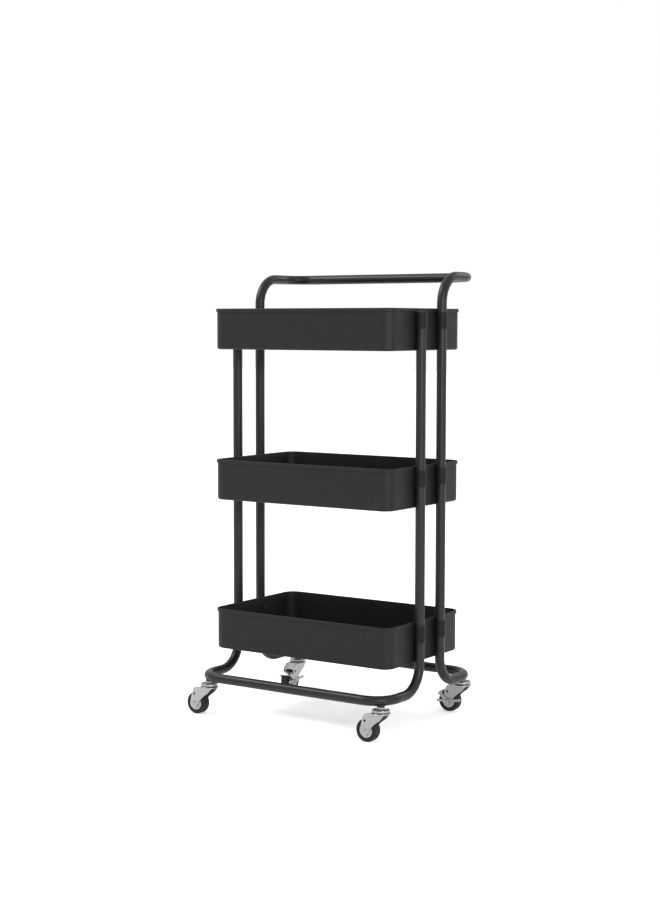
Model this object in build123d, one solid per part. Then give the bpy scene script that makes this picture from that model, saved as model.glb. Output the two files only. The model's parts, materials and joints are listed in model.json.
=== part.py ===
from build123d import *
import os

# A three-tier rolling utility cart.  Millimetres, +Z up, -Y is the front, +X is the right.
# The origin is on the floor, midway between the four caster stems.

# Trays: pressed sheet-steel tubs with a rolled rim.
tray_length = 393.0
tray_width = 252.0
tray_height = 76.0
tray_corner_radius = 22.0
tray_foot_radius = 4.0
tray_sheet = 1.0
tray_spacing = 283.0
tray_count = 3
rim_overhang = 2.0
rim_height = 6.5
rim_top_radius = 1.4
rim_under_radius = 0.9
rim_inner_radius = 0.8
rim_groove_clearance = 0.3

# Tubes: uprights, two base bows and one handle bow, all of one round tube.
tube_radius = 9.0
tube_wall = 1.2
upright_gap = 0.5
upright_half_spacing = 36.0
bow_reach = 158.0
bow_bend_radius = 50.0
bow_corner_radius = 45.0
base_to_bottom_rim = 126.0
handle_rise = 59.0

# Sockets on the end walls, with the connector, plug and screw inside each.
socket_length = 30.0
socket_wall = 1.5
socket_foot_half_width = 8.0
socket_to_rim = 0.5
joint_drop = 8.0
fit_clearance = 0.05
connector_down = 32.0
connector_up = 26.0
connector_chamfer = 1.0
plug_cap = 1.5
plug_length = 24.0
screw_radius = 2.0
screw_hole_clearance = 0.15
screw_past_centre = 5.0
screw_head_radius = 4.0
screw_head_height = 2.4
screw_recess_width = 0.9
screw_recess_depth = 1.2

# Casters: threaded stem, ball race, pressed fork, rubber-tyred wheel.
wheel_radius = 21.0
wheel_width = 18.0
tyre_thickness = 8.0
tyre_edge_radius = 3.0
hub_width = 17.0
hub_recess = 0.8
hub_boss_radius = 5.5
hub_land = 1.5
fork_side_gap = 1.6
fork_sheet = 1.8
fork_rise = 34.4
fork_disc_radius = 17.0
fork_eye_radius = 10.0
fork_shoulder_radius = 10.0
fork_shoulder_drop = 2.0
fork_nose_radius = 2.0
fork_back_reach = 31.0
fork_front_reach = 12.5
fork_front_hollow = 3.0
fork_front_radius = 60.0
fork_roof_reach = 14.0
fork_hole_radius = 2.3
fork_hole_rise = 18.5
trail = 26.5
axle_radius = 2.5
axle_head_radius = 4.5
axle_head_height = 1.4
axle_running = 0.06
boss_running = 0.3
stem_radius = 4.0
stem_running = 0.08
stem_into_tube = 4.0
stem_head_radius = 6.5
stem_head_height = 2.0
hex_across_flats = 13.0
hex_height = 6.0
race_radius = 16.0
race_thickness = 2.7
race_lip_width = 1.6
race_lip_height = 1.2
race_gap = 1.4
race_edge_radius = 0.7
ball_radius = 1.5
ball_ring_radius = 10.5
ball_count = 10
ball_clearance = 0.05
weld_boss_radius = 6.5
weld_boss_height = 1.5

# Brake: a pressed yoke that turns on the axle of each rear caster, with a foot bar on one side.
lever_sheet = 1.6
lever_side_gap = 0.3
lever_bar_height = 4.8
lever_eye_radius = 6.5
lever_tip_reach = 29.0
lever_back_reach = 21.5
lever_rise = 9.0
lever_pad_width = 6.0
lever_wheel_clearance = 1.4
lever_arm_width = 7.0
lever_shoe_width = 9.0
lever_shoe_turn = 138.0

# Heights, stacked up from the floor.
axle_z = wheel_radius
fork_top_z = axle_z + fork_rise
fork_under_z = fork_top_z - fork_sheet
race_under_z = fork_top_z + race_gap
race_top_z = race_under_z + race_thickness
hex_top_z = race_top_z + hex_height
base_z = hex_top_z + weld_boss_height + tube_radius
rim_levels = [base_z + base_to_bottom_rim + level * tray_spacing for level in range(tray_count)]
handle_z = rim_levels[-1] + handle_rise

# Places across the cart.
upright_x = tray_length / 2 + upright_gap + tube_radius
tube_bore_radius = tube_radius - tube_wall
corner_inset = bow_corner_radius * (1 - 0.5 ** 0.5)
caster_x = upright_x - corner_inset
caster_y = bow_reach - corner_inset
fork_inner_y = wheel_width / 2 + fork_side_gap
fork_outer_y = fork_inner_y + fork_sheet
ENDS = {"left": -1, "right": 1}
SIDES = {"front": -1, "back": 1}
LEVELS = ["bottom", "middle", "top"]
BRAKED_SIDE = "back"
# At rest each fork trails to the left, except the back left one, which has swung to the front.
REST_TURN = {"front_left": 0.0, "front_right": 0.0, "back_left": 90.0, "back_right": 0.0}


def block(length, width, corner, low, high):
    """Upright block with rounded corners, centred on Z."""
    return extrude(Pos(0, 0, low) * RectangleRounded(length, width, corner), high - low)


def post(radius, low, high, x=0.0, y=0.0):
    """Round bar along Z."""
    return Pos(x, y, (low + high) / 2) * Cylinder(radius, high - low)


def bar_x(radius, start, end, y, z):
    """Round bar along X."""
    return Pos((start + end) / 2, y, z) * Rot(0, 90, 0) * Cylinder(radius, abs(end - start))


def bar_y(radius, half_length, x, z):
    """Round bar along Y, centred on the XZ plane."""
    return Pos(x, 0, z) * Rot(90, 0, 0) * Cylinder(radius, 2 * half_length)


def socket_top(rim_z):
    """Height of the upper edge of the sockets of one tray."""
    return rim_z - rim_height - socket_to_rim


def joint_z(rim_z):
    """Height at which one tube ends and the next begins, inside the socket."""
    return socket_top(rim_z) - joint_drop


def screw_z(rim_z):
    """Height of the screw that holds tray, socket and tube together."""
    return socket_top(rim_z) - socket_length / 2


def upright_places():
    """The four places where a tube stands against an end wall."""
    return [(end * upright_x, side * upright_half_spacing) for end in (-1, 1) for side in (-1, 1)]


def screw_hole(x, y, rim_z, radius):
    """Hole along X from inside the tray to just past the tube's centre line."""
    end = 1 if x > 0 else -1
    inside = end * (tray_length / 2 - 2 * tray_sheet)
    return bar_x(radius, inside, x + end * (screw_past_centre + tube_wall), y, screw_z(rim_z))


def tray(rim_z):
    """Open tub with a rolled rim, grooved where the tubes pass it, and four screw holes."""
    low = rim_z - tray_height
    tub = block(tray_length, tray_width, tray_corner_radius, low, rim_z)
    tub = fillet(tub.edges().group_by(Axis.Z)[0], tray_foot_radius)
    outer_length = tray_length + 2 * rim_overhang
    outer_width = tray_width + 2 * rim_overhang
    rim = block(outer_length, outer_width, tray_corner_radius + rim_overhang, rim_z - rim_height, rim_z)
    rim = fillet(rim.edges().group_by(Axis.Z)[-1], rim_top_radius)
    rim = fillet(rim.edges().group_by(Axis.Z)[0], rim_under_radius)
    inner_length = tray_length - 2 * tray_sheet
    inner_width = tray_width - 2 * tray_sheet
    hollow = block(inner_length, inner_width, tray_corner_radius - tray_sheet, low + tray_sheet, rim_z)
    hollow = fillet(hollow.edges().group_by(Axis.Z)[0], tray_foot_radius - tray_sheet)
    body = tub + rim - hollow
    mouth = body.faces().sort_by(Axis.Z)[-1].inner_wires()[0]
    body = fillet(mouth.edges(), rim_inner_radius)
    for x, y in upright_places():
        groove = post(tube_radius + rim_groove_clearance, rim_z - rim_height - socket_to_rim, rim_z, x, y)
        body = body - groove - screw_hole(x, y, rim_z, screw_radius + screw_hole_clearance)
    return body


def socket(x, y, rim_z):
    """Sleeve round the tube with a flat foot against the end wall, bored for the screw."""
    end = 1 if x > 0 else -1
    top = socket_top(rim_z)
    wall_x = tray_length / 2
    sleeve = post(tube_radius + socket_wall, top - socket_length, top, x, y)
    foot_depth = upright_x - wall_x
    foot_at = Pos(end * (wall_x + foot_depth / 2), y, top - socket_length / 2)
    foot = foot_at * Box(foot_depth, 2 * socket_foot_half_width, socket_length)
    behind_wall = Pos(end * (wall_x - upright_x / 2), y, top) * Box(upright_x, 80, 4 * socket_length)
    body = sleeve + foot - behind_wall
    body = body - post(tube_radius + fit_clearance, top - socket_length, top, x, y)
    return body - screw_hole(x, y, rim_z, screw_radius + screw_hole_clearance)


def tray_screw(x, y, rim_z):
    """Pan-head screw from inside the tray, through wall, socket and tube into the connector."""
    end = 1 if x > 0 else -1
    seat = end * (tray_length / 2 - tray_sheet)
    face = seat - end * screw_head_height
    z = screw_z(rim_z)
    head = bar_x(screw_head_radius, face, seat, y, z)
    crown = head.edges().group_by(Axis.X)[0 if end > 0 else -1]
    head = fillet(crown, screw_head_height / 3)
    arm = 1.2 * screw_head_radius
    slot_at = Pos(face + end * screw_recess_depth / 2, y, z)
    recess = slot_at * (
        Box(screw_recess_depth, arm, screw_recess_width) + Box(screw_recess_depth, screw_recess_width, arm)
    )
    return head + bar_x(screw_radius, seat, x + end * screw_past_centre, y, z) - recess


def upright(x, y, low, high, screw_levels):
    """Straight tube with a hole for each screw that crosses it."""
    body = post(tube_radius, low, high, x, y) - post(tube_bore_radius, low, high, x, y)
    for rim_z in screw_levels:
        body = body - screw_hole(x, y, rim_z, screw_radius + screw_hole_clearance)
    return body


def bow(side, end_z, run_z):
    """Path of a bent tube: two legs in line with the uprights, arms outward, one long run."""
    leg_y = side * upright_half_spacing
    run_y = side * bow_reach
    path = FilletPolyline(
        (upright_x, leg_y, end_z),
        (upright_x, leg_y, run_z),
        (upright_x, run_y, run_z),
        (-upright_x, run_y, run_z),
        (-upright_x, leg_y, run_z),
        (-upright_x, leg_y, end_z),
        radius=[bow_bend_radius, bow_corner_radius, bow_corner_radius, bow_bend_radius],
    )
    return path


def bow_solid(path, radius):
    """Round bar of one radius along a bow's path."""
    start = Plane(origin=path @ 0, z_dir=path % 0)
    return sweep(start * Circle(radius), path=path)


def bow_tube(path):
    """The bow as a tube."""
    return bow_solid(path, tube_radius) - bow_solid(path, tube_bore_radius)


def base_bow(side):
    """Base tube with a screw hole in each leg and a stem hole under each corner."""
    rim_z = rim_levels[0]
    body = bow_tube(bow(side, joint_z(rim_z), base_z))
    for end in (-1, 1):
        x = end * upright_x
        y = side * upright_half_spacing
        body = body - screw_hole(x, y, rim_z, screw_radius + screw_hole_clearance)
        stem_hole = stem_radius + 4 * stem_running
        body = body - post(stem_hole, base_z - 2 * tube_radius, base_z, end * caster_x, side * caster_y)
    return body


def weld_boss(end, side):
    """Threaded boss welded under the base tube's corner, saddled to the tube."""
    x = end * caster_x
    y = side * caster_y
    tube = bow_solid(bow(side, joint_z(rim_levels[0]), base_z), tube_radius)
    body = post(weld_boss_radius, hex_top_z, base_z, x, y) - tube
    return body - post(stem_radius + stem_running, hex_top_z, base_z, x, y)


def connector(x, y, rim_z):
    """Solid insert that joins two tube ends, with a cross bore for the screw."""
    low = joint_z(rim_z) - connector_down
    high = joint_z(rim_z) + connector_up
    body = post(tube_bore_radius - fit_clearance, low, high, x, y)
    ends = body.edges().group_by(Axis.Z)
    body = chamfer(ends[0] + ends[-1], connector_chamfer)
    return body - screw_hole(x, y, rim_z, screw_radius + fit_clearance)


def end_plug(x, y):
    """Cap over the open top of a front upright, with a long spigot that takes the screw."""
    rim_z = rim_levels[-1]
    top = socket_top(rim_z)
    cap = post(tube_radius, top, top + plug_cap, x, y)
    cap = fillet(cap.edges().group_by(Axis.Z)[-1], plug_cap / 2)
    spigot = post(tube_bore_radius - fit_clearance, top - plug_length, top, x, y)
    return cap + spigot - screw_hole(x, y, rim_z, screw_radius + fit_clearance)


def caster_stem():
    """King pin: threaded stem, hexagon to turn it by, shank through the fork, rivet head."""
    head_top = fork_under_z - boss_running
    shank = post(stem_radius, head_top - stem_head_height, base_z + stem_into_tube)
    shank = chamfer(shank.edges().group_by(Axis.Z)[-1], stem_radius / 5)
    head = post(stem_head_radius, head_top - stem_head_height, head_top)
    head = fillet(head.edges().group_by(Axis.Z)[0], stem_head_height / 2)
    hexagon = RegularPolygon(hex_across_flats / 2, 6, major_radius=False)
    return shank + head + extrude(Pos(0, 0, race_top_z) * hexagon, hex_height)


def ball_groove(z):
    """Ring that the balls run in."""
    return Pos(0, 0, z) * Torus(ball_ring_radius, ball_radius + ball_clearance)


def race_plate():
    """Upper race: round plate held under the hexagon, with a raised lip."""
    lip_top = race_top_z + race_lip_height
    body = post(race_radius, race_under_z, lip_top)
    body = fillet(body.edges().group_by(Axis.Z)[-1], race_edge_radius)
    body = body - post(race_radius - race_lip_width, race_top_z, lip_top)
    body = body - post(stem_radius + stem_running, race_under_z, race_top_z)
    return body - ball_groove((fork_top_z + race_under_z) / 2)


def race_balls():
    """Steel balls between the two races, as separate solids."""
    middle = (fork_top_z + race_under_z) / 2
    spots = PolarLocations(ball_ring_radius, ball_count)
    return [Pos(0, 0, middle) * spot * Sphere(ball_radius) for spot in spots]


def fork_side():
    """Side view of the fork: axle eye, rounded back shoulder, nose and hollowed front edge."""
    eye_at = Vector(-trail, axle_z)
    shoulder_z = fork_top_z - fork_shoulder_drop - fork_shoulder_radius
    shoulder_at = Vector(fork_shoulder_radius - fork_back_reach, shoulder_z)
    nose_at = Vector(fork_front_reach - fork_nose_radius, fork_top_z - fork_nose_radius)
    eye = Pos(eye_at) * CenterArc((0, 0), fork_eye_radius, 0, 360)
    shoulder = Pos(shoulder_at) * CenterArc((0, 0), fork_shoulder_radius, 0, 360)
    nose = Pos(nose_at) * CenterArc((0, 0), fork_nose_radius, 0, 360)
    outline = make_hull([*eye.edges(), *shoulder.edges(), *nose.edges()])
    along = (nose_at - eye_at).normalized()
    outward = Vector(along.Y, -along.X)
    edge_middle = (eye_at + nose_at) * 0.5 + outward * ((fork_eye_radius + fork_nose_radius) / 2)
    hollow_at = edge_middle + outward * (fork_front_radius - fork_front_hollow)
    return outline - Pos(hollow_at) * Circle(fork_front_radius)


def fork():
    """Pressed fork: round top plate, open behind it, and two cheeks with an eye and a hole each."""
    body = extrude(Plane.XZ * fork_side(), fork_outer_y, both=True)
    channel_long = 2 * (trail + fork_back_reach)
    channel_at = Pos(0, 0, fork_under_z - channel_long / 2)
    body = body - channel_at * Box(2 * channel_long, 2 * fork_inner_y, channel_long)
    body = body - Pos(-fork_roof_reach - fork_back_reach, 0, fork_top_z) * Box(
        2 * fork_back_reach, 2 * fork_inner_y, 4 * fork_sheet
    )
    body = body + post(fork_disc_radius, fork_under_z, fork_top_z)
    body = body - post(stem_radius + stem_running, fork_under_z, fork_top_z)
    body = body - ball_groove((fork_top_z + race_under_z) / 2)
    body = body - bar_y(axle_radius + fit_clearance, 2 * fork_outer_y, -trail, axle_z)
    return body - bar_y(fork_hole_radius, 2 * fork_outer_y, -trail, axle_z + fork_hole_rise)


def axle(braked):
    """Riveted axle through both cheeks, longer where the brake lever rides on it."""
    seat = fork_outer_y
    if braked:
        seat = fork_outer_y + 2 * lever_side_gap + lever_sheet
    end = seat + axle_head_height
    body = bar_y(axle_radius, end, -trail, axle_z)
    for way in (-1, 1):
        head_at = Pos(-trail, way * (seat + axle_head_height / 2), axle_z) * Rot(90, 0, 0)
        head = head_at * Cylinder(axle_head_radius, axle_head_height)
        outer_edge = head.edges().group_by(Axis.Y)[-1 if way > 0 else 0]
        body = body + fillet(outer_edge, axle_head_height / 2)
    return body


def wheel_hub():
    """Moulded wheel centre with a raised rim, shallow dished faces and a long boss."""
    radius = wheel_radius - tyre_thickness
    body = bar_y(radius, hub_width / 2, -trail, axle_z)
    for way in (-1, 1):
        dish_at = Pos(-trail, way * (hub_width - hub_recess) / 2, axle_z) * Rot(90, 0, 0)
        dish = Cylinder(radius - hub_land, hub_recess) - Cylinder(hub_boss_radius, hub_recess)
        body = body - dish_at * dish
    body = body + bar_y(hub_boss_radius, fork_inner_y - boss_running, -trail, axle_z)
    return body - bar_y(axle_radius + axle_running, fork_outer_y, -trail, axle_z)


def tyre():
    """Solid rubber tyre with rounded shoulders."""
    outer = Rot(90, 0, 0) * Cylinder(wheel_radius, wheel_width)
    outer = fillet(outer.edges().filter_by(GeomType.CIRCLE), tyre_edge_radius)
    inner_radius = wheel_radius - tyre_thickness + fit_clearance
    return Pos(-trail, 0, axle_z) * outer - bar_y(inner_radius, wheel_width, -trail, axle_z)


def brake_lever():
    """Pressed yoke: eyes on the axle, arms to a shoe behind the wheel, foot bar on one side."""
    inner_y = fork_outer_y + lever_side_gap
    outer_y = inner_y + lever_sheet
    clear = wheel_radius + lever_wheel_clearance
    shoe_reach = clear + lever_sheet
    swung = Rot(0, 0, lever_shoe_turn)
    arm_view = swung * Pos(shoe_reach / 2, 0) * Rectangle(shoe_reach, lever_arm_width)
    arm_view = (arm_view & Circle(shoe_reach)) + Circle(lever_eye_radius)
    shoe_view = swung * Pos(shoe_reach / 2, 0) * Rectangle(shoe_reach, lever_shoe_width)
    shoe_view = (shoe_view & Circle(shoe_reach)) - Circle(clear)
    body = extrude(Plane.XZ * arm_view, outer_y, both=True)
    body = body - Box(4 * lever_tip_reach, 2 * inner_y, 4 * lever_tip_reach)
    body = body + extrude(Plane.XZ * shoe_view, outer_y, both=True)
    bar_y_middle = -(inner_y + outer_y) / 2
    back_bar = Pos(-lever_back_reach / 2, bar_y_middle, 0)
    body = body + back_bar * Box(lever_back_reach, lever_sheet, lever_bar_height)
    pad_length = lever_tip_reach - clear
    pad_at = Pos(clear + pad_length / 2, lever_pad_width / 2 - outer_y, 0)
    foot_bar = Pos(lever_tip_reach / 2, bar_y_middle, 0) * Box(
        lever_tip_reach, lever_sheet, lever_bar_height
    )
    foot_bar = foot_bar + pad_at * Box(pad_length, lever_pad_width, lever_sheet)
    body = body + Rot(0, -lever_rise, 0) * foot_bar
    body = body - Rot(90, 0, 0) * Cylinder(axle_radius + axle_running, 4 * outer_y)
    return Pos(-trail, 0, axle_z) * body


def save(node, solids):
    """Write one node, a single solid or a group of separate solids."""
    pieces = [solid for piece in solids for solid in piece.solids()]
    shape = pieces[0] if len(pieces) == 1 else Compound(children=pieces)
    export_step(shape, f"parts/{node}.step")


def save_trays():
    """Three equal trays, each with its sockets and screws."""
    for level, rim_z in zip(LEVELS, rim_levels):
        save(f"tray_{level}", [tray(rim_z)])
        save(f"sockets_{level}", [socket(x, y, rim_z) for x, y in upright_places()])
        save(f"tray_screws_{level}", [tray_screw(x, y, rim_z) for x, y in upright_places()])


def save_tubes():
    """Base bows, uprights, handle bow, connectors and end plugs."""
    bottom, middle, top = rim_levels
    for side_name, side in SIDES.items():
        save(f"base_tube_{side_name}", [base_bow(side)])
        y = side * upright_half_spacing
        for end_name, end in ENDS.items():
            x = end * upright_x
            lower = upright(x, y, joint_z(bottom), joint_z(middle), [middle])
            save(f"upright_lower_{side_name}_{end_name}", [lower])
            high = joint_z(top) if side_name == "back" else socket_top(top)
            upper = upright(x, y, joint_z(middle), high, [top])
            save(f"upright_upper_{side_name}_{end_name}", [upper])
    back_y = SIDES["back"] * upright_half_spacing
    front_y = SIDES["front"] * upright_half_spacing
    save("handle_tube", [bow_tube(bow(SIDES["back"], joint_z(top), handle_z))])
    for level, rim_z in zip(LEVELS[:-1], rim_levels[:-1]):
        save(f"tube_connectors_{level}", [connector(x, y, rim_z) for x, y in upright_places()])
    save("handle_connectors", [connector(end * upright_x, back_y, top) for end in (-1, 1)])
    save("front_end_plugs", [end_plug(end * upright_x, front_y) for end in (-1, 1)])


def save_casters():
    """Four swivel casters, the back two with a brake lever, and the bosses they screw into."""
    save("caster_weld_bosses", [weld_boss(end, side) for end in (-1, 1) for side in (-1, 1)])
    for side_name, side in SIDES.items():
        for end_name, end in ENDS.items():
            corner = f"{side_name}_{end_name}"
            place = Pos(end * caster_x, side * caster_y) * Rot(0, 0, REST_TURN[corner])
            braked = side_name == BRAKED_SIDE
            pieces = {
                "stem": [caster_stem()],
                "race_plate": [race_plate()],
                "balls": race_balls(),
                "fork": [fork()],
                "axle": [axle(braked)],
                "wheel_hub": [wheel_hub()],
                "tyre": [tyre()],
            }
            if braked:
                pieces["brake_lever"] = [brake_lever()]
            for piece_name, shapes in pieces.items():
                save(f"caster_{corner}_{piece_name}", [place * shape for shape in shapes])


os.makedirs("parts", exist_ok=True)
save_trays()
save_tubes()
save_casters()
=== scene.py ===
import json
import math

import bmesh
import bpy
from mathutils import Matrix, Vector
from mathutils.geometry import convex_hull_2d


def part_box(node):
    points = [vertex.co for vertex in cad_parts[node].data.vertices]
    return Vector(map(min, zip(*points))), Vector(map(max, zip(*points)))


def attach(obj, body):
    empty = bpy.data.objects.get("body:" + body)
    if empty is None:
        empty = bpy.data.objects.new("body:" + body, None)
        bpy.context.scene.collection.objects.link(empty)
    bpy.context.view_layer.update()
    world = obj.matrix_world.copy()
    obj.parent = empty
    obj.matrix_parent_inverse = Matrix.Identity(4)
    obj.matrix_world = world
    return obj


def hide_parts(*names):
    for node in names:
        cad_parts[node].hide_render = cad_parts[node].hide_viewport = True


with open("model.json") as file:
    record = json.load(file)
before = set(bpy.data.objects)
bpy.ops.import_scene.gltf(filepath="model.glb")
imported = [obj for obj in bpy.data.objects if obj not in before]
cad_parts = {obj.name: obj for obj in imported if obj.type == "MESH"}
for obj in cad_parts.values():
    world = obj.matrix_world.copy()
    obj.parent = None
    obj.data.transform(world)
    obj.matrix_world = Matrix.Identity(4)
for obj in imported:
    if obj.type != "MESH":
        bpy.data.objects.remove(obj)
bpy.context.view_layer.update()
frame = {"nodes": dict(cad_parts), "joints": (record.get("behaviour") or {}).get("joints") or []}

# ---- Studio -----------------------------------------------------------------
# A plain white sweep under an even white sky.  One soft light stands at the front right, one
# high at the front left and a weak one behind.  The camera stands level with the top tray.

scene = bpy.context.scene
scene.view_settings.view_transform = "Standard"

camera = bpy.data.objects.new("camera", bpy.data.cameras.new("camera"))
scene.collection.objects.link(camera)
scene.camera = camera
camera.location = (1.7622, -2.6101, 0.7387)
camera_heading = math.radians(34.255)
camera_tilt = math.radians(-4.279)
camera_lean = math.radians(0.079)
camera.rotation_mode = "QUATERNION"
camera.rotation_quaternion = (
    Matrix.Rotation(camera_heading, 3, "Z")
    @ Matrix.Rotation(math.radians(90) + camera_tilt, 3, "X")
    @ Matrix.Rotation(camera_lean, 3, "Z")
).to_quaternion()
camera.data.lens = 67.12
camera.data.clip_start = 0.05
camera.data.clip_end = 50


class Wire:
    """One shader socket. Arithmetic on it adds Math nodes to the same tree."""

    def __init__(self, tree, socket):
        self.tree = tree
        self.socket = socket

    def node(self, kind, settings, inputs, output=0):
        """Adds a node: its settings first, then the values or wires of its sockets."""
        made = self.tree.nodes.new(kind)
        for key, value in settings.items():
            setattr(made, key, value)
        for key, value in inputs.items():
            if isinstance(key, int):
                socket = made.inputs[key]
            else:
                socket = next(s for s in made.inputs if key in (s.identifier, s.name))
            if isinstance(value, Wire):
                self.tree.links.new(value.socket, socket)
            else:
                socket.default_value = value
        return Wire(self.tree, made.outputs[output]) if made.outputs else None

    def math(self, operation, first, second):
        return self.node("ShaderNodeMath", {"operation": operation}, {0: first, 1: second})

    def __add__(self, other):
        return self.math("ADD", self, other)

    def __sub__(self, other):
        return self.math("SUBTRACT", self, other)

    def __rsub__(self, other):
        return self.math("SUBTRACT", other, self)

    def __mul__(self, other):
        return self.math("MULTIPLY", self, other)

    __radd__ = __add__
    __rmul__ = __mul__


def start_finish(name):
    """A new empty material, and a wire that carries the piece's own coordinates in metres."""
    finish = bpy.data.materials.new(name)
    finish.use_nodes = True
    finish.node_tree.nodes.clear()
    coordinates = finish.node_tree.nodes.new("ShaderNodeTexCoord")
    return finish, Wire(finish.node_tree, coordinates.outputs["Object"])


def noise(at, size, detail=2.0):
    """Cloudy value from 0 to 1 whose blotches are about size metres across."""
    return at.node("ShaderNodeTexNoise", {}, {"Vector": at, "Scale": 1 / size, "Detail": detail}, "Fac")


def patches(cloud, threshold=0.52, soft=0.12):
    """Turns a cloudy value into separate patches with soft edges."""
    smooth = {"interpolation_type": "SMOOTHSTEP"}
    sockets = {"Value": cloud, "From Min": threshold, "From Max": threshold + soft}
    return cloud.node("ShaderNodeMapRange", smooth, sockets)


def blend_colours(amount, low, high):
    """Colour between two others, plain or wired, by a wired amount."""
    low, high = (c if isinstance(c, Wire) else (*c, 1.0) for c in (low, high))
    ends = {"Factor_Float": amount, "A_Color": low, "B_Color": high}
    return amount.node("ShaderNodeMix", {"data_type": "RGBA"}, ends, 2)


def bump(height, distance, strength, under=None):
    """Normal raised by a wired height, over another normal if one is given."""
    sockets = {"Height": height, "Distance": distance, "Strength": strength}
    if under:
        sockets["Normal"] = under
    return height.node("ShaderNodeBump", {}, sockets, "Normal")


def close_finish(at, **sockets):
    """Ends a material with its surface shader; an underscore stands for a space."""
    named = {key.replace("_", " "): value for key, value in sockets.items()}
    surface = at.node("ShaderNodeBsdfPrincipled", {}, named, "BSDF")
    at.node("ShaderNodeOutputMaterial", {}, {"Surface": surface})


sweep_finish, at = start_finish("studio_sweep")
speckle = noise(at, 0.02)
close_finish(
    at,
    Base_Color=blend_colours(speckle, (0.90, 0.90, 0.90), (0.93, 0.93, 0.93)),
    Roughness=0.7 + 0.1 * speckle,
    Emission_Color=(1.0, 1.0, 1.0, 1.0),
    Emission_Strength=0.38,
)
bpy.ops.mesh.primitive_plane_add(size=40)
sweep = bpy.context.object
sweep.name = "studio_floor"
sweep.data.materials.append(sweep_finish)

sky = bpy.data.worlds.new("studio")
scene.world = sky
sky.use_nodes = True
sky.node_tree.nodes["Background"].inputs["Color"].default_value = (1.0, 1.0, 1.0, 1.0)
sky.node_tree.nodes["Background"].inputs["Strength"].default_value = 1.0

middle_of_cart = Vector((0, 0, 0.45))


def soft_light(name, place, size, power):
    """Square lamp at place, turned to the middle of the cart."""
    lamp = bpy.data.objects.new(name, bpy.data.lights.new(name, "AREA"))
    lamp.data.shape = "SQUARE"
    lamp.data.size = size
    lamp.data.energy = power
    lamp.location = place
    lamp.rotation_mode = "QUATERNION"
    lamp.rotation_quaternion = (middle_of_cart - Vector(place)).to_track_quat("-Z", "Y")
    scene.collection.objects.link(lamp)


soft_light("key_light", (2.42, -1.51, 1.1), 0.5, 36.0)
soft_light("top_light", (-1.6, -1.0, 2.5), 0.9, 46.0)
soft_light("back_light", (0.9, 2.5, 1.9), 1.0, 11.0)

# ---- Base tubes, handle and uprights ----------------------------------------
# Round steel tube, bent cold on a mandrel and powder coated in satin charcoal.  Each base tube
# is one piece from end to end: two legs, two arms outward and the long run near the floor.

tube_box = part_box("upright_lower_front_left")
tube_radius = (tube_box[1].x - tube_box[0].x) / 2
tube_wall = 0.0012
bend_radius = 0.050
corner_radius = 0.045
bend_flattening = 0.03
tube_sides = 40
bend_steps = 28
leg_steps = 4
arm_steps = 3
run_steps = 12


def powder_coat(name, colour, roughness, gloss):
    """Baked powder coat: faint orange peel, slightly uneven sheen and a fine dry haze."""
    finish, at = start_finish(name)
    haze = noise(at, 0.045, 3.0)
    mottle = noise(at, 0.006, 2.0)
    rubbed = patches(noise(at, 0.03, 5.0), 0.55, 0.1)
    peel = noise(at, 0.0016, 1.0)
    ripple = noise(at, 0.012, 1.0)
    darker = tuple(0.88 * c for c in colour)
    lighter = tuple(1.14 * c for c in colour)
    dry = tuple(1.35 * c for c in colour)
    even = blend_colours(0.6 * haze + 0.4 * mottle, darker, lighter)
    close_finish(
        at,
        Base_Color=blend_colours(0.4 * rubbed, even, dry),
        Roughness=roughness + 0.08 * haze + 0.06 * mottle - 0.04 * rubbed,
        Specular_IOR_Level=gloss,
        Normal=bump(peel, 0.0002, 0.14, bump(ripple, 0.0004, 0.12)),
    )
    return finish


tube_finish = powder_coat("tube_powder_coat", (0.0080, 0.0080, 0.0082), 0.34, 0.26)


def skin(name, rings, closed=False, smooth_angle=35):
    """Mesh over a row of equal rings, closed on itself or with a face over each end."""
    shape = bmesh.new()
    rows = [[shape.verts.new(point) for point in ring] for ring in rings]
    count = len(rows[0])
    last = len(rows) if closed else len(rows) - 1
    for i in range(last):
        here = rows[i]
        there = rows[(i + 1) % len(rows)]
        for j in range(count):
            k = (j + 1) % count
            shape.faces.new((here[j], here[k], there[k], there[j]))
    if not closed:
        shape.faces.new(rows[0])
        shape.faces.new(rows[-1])
    bmesh.ops.recalc_face_normals(shape, faces=shape.faces)
    mesh = bpy.data.meshes.new(name)
    shape.to_mesh(mesh)
    shape.free()
    mesh.shade_smooth()
    mesh.set_sharp_from_angle(angle=math.radians(smooth_angle))
    return mesh


def install(name, mesh, finish, slot, body, *nodes, place=None):
    """Puts a finished piece on its body, in place of its CAD nodes."""
    piece = bpy.data.objects.new(name, mesh)
    scene.collection.objects.link(piece)
    if place:
        piece.matrix_world = place
    if not mesh.materials:
        mesh.materials.append(finish)
    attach(piece, body)
    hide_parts(*nodes)
    return piece


def whole_turn(count):
    """Angles of count even steps round a circle."""
    return [math.tau * i / count for i in range(count)]


def quarter_turn(steps):
    """Angles from 0 to 90 degrees in even steps, with both ends."""
    return [math.radians(90) * i / steps for i in range(steps + 1)]


def arc(centre, start, end, radius):
    """Points of a quarter turn about centre from direction start to direction end."""
    turns = quarter_turn(bend_steps)
    return [centre + radius * (math.cos(t) * start + math.sin(t) * end) for t in turns]


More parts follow.
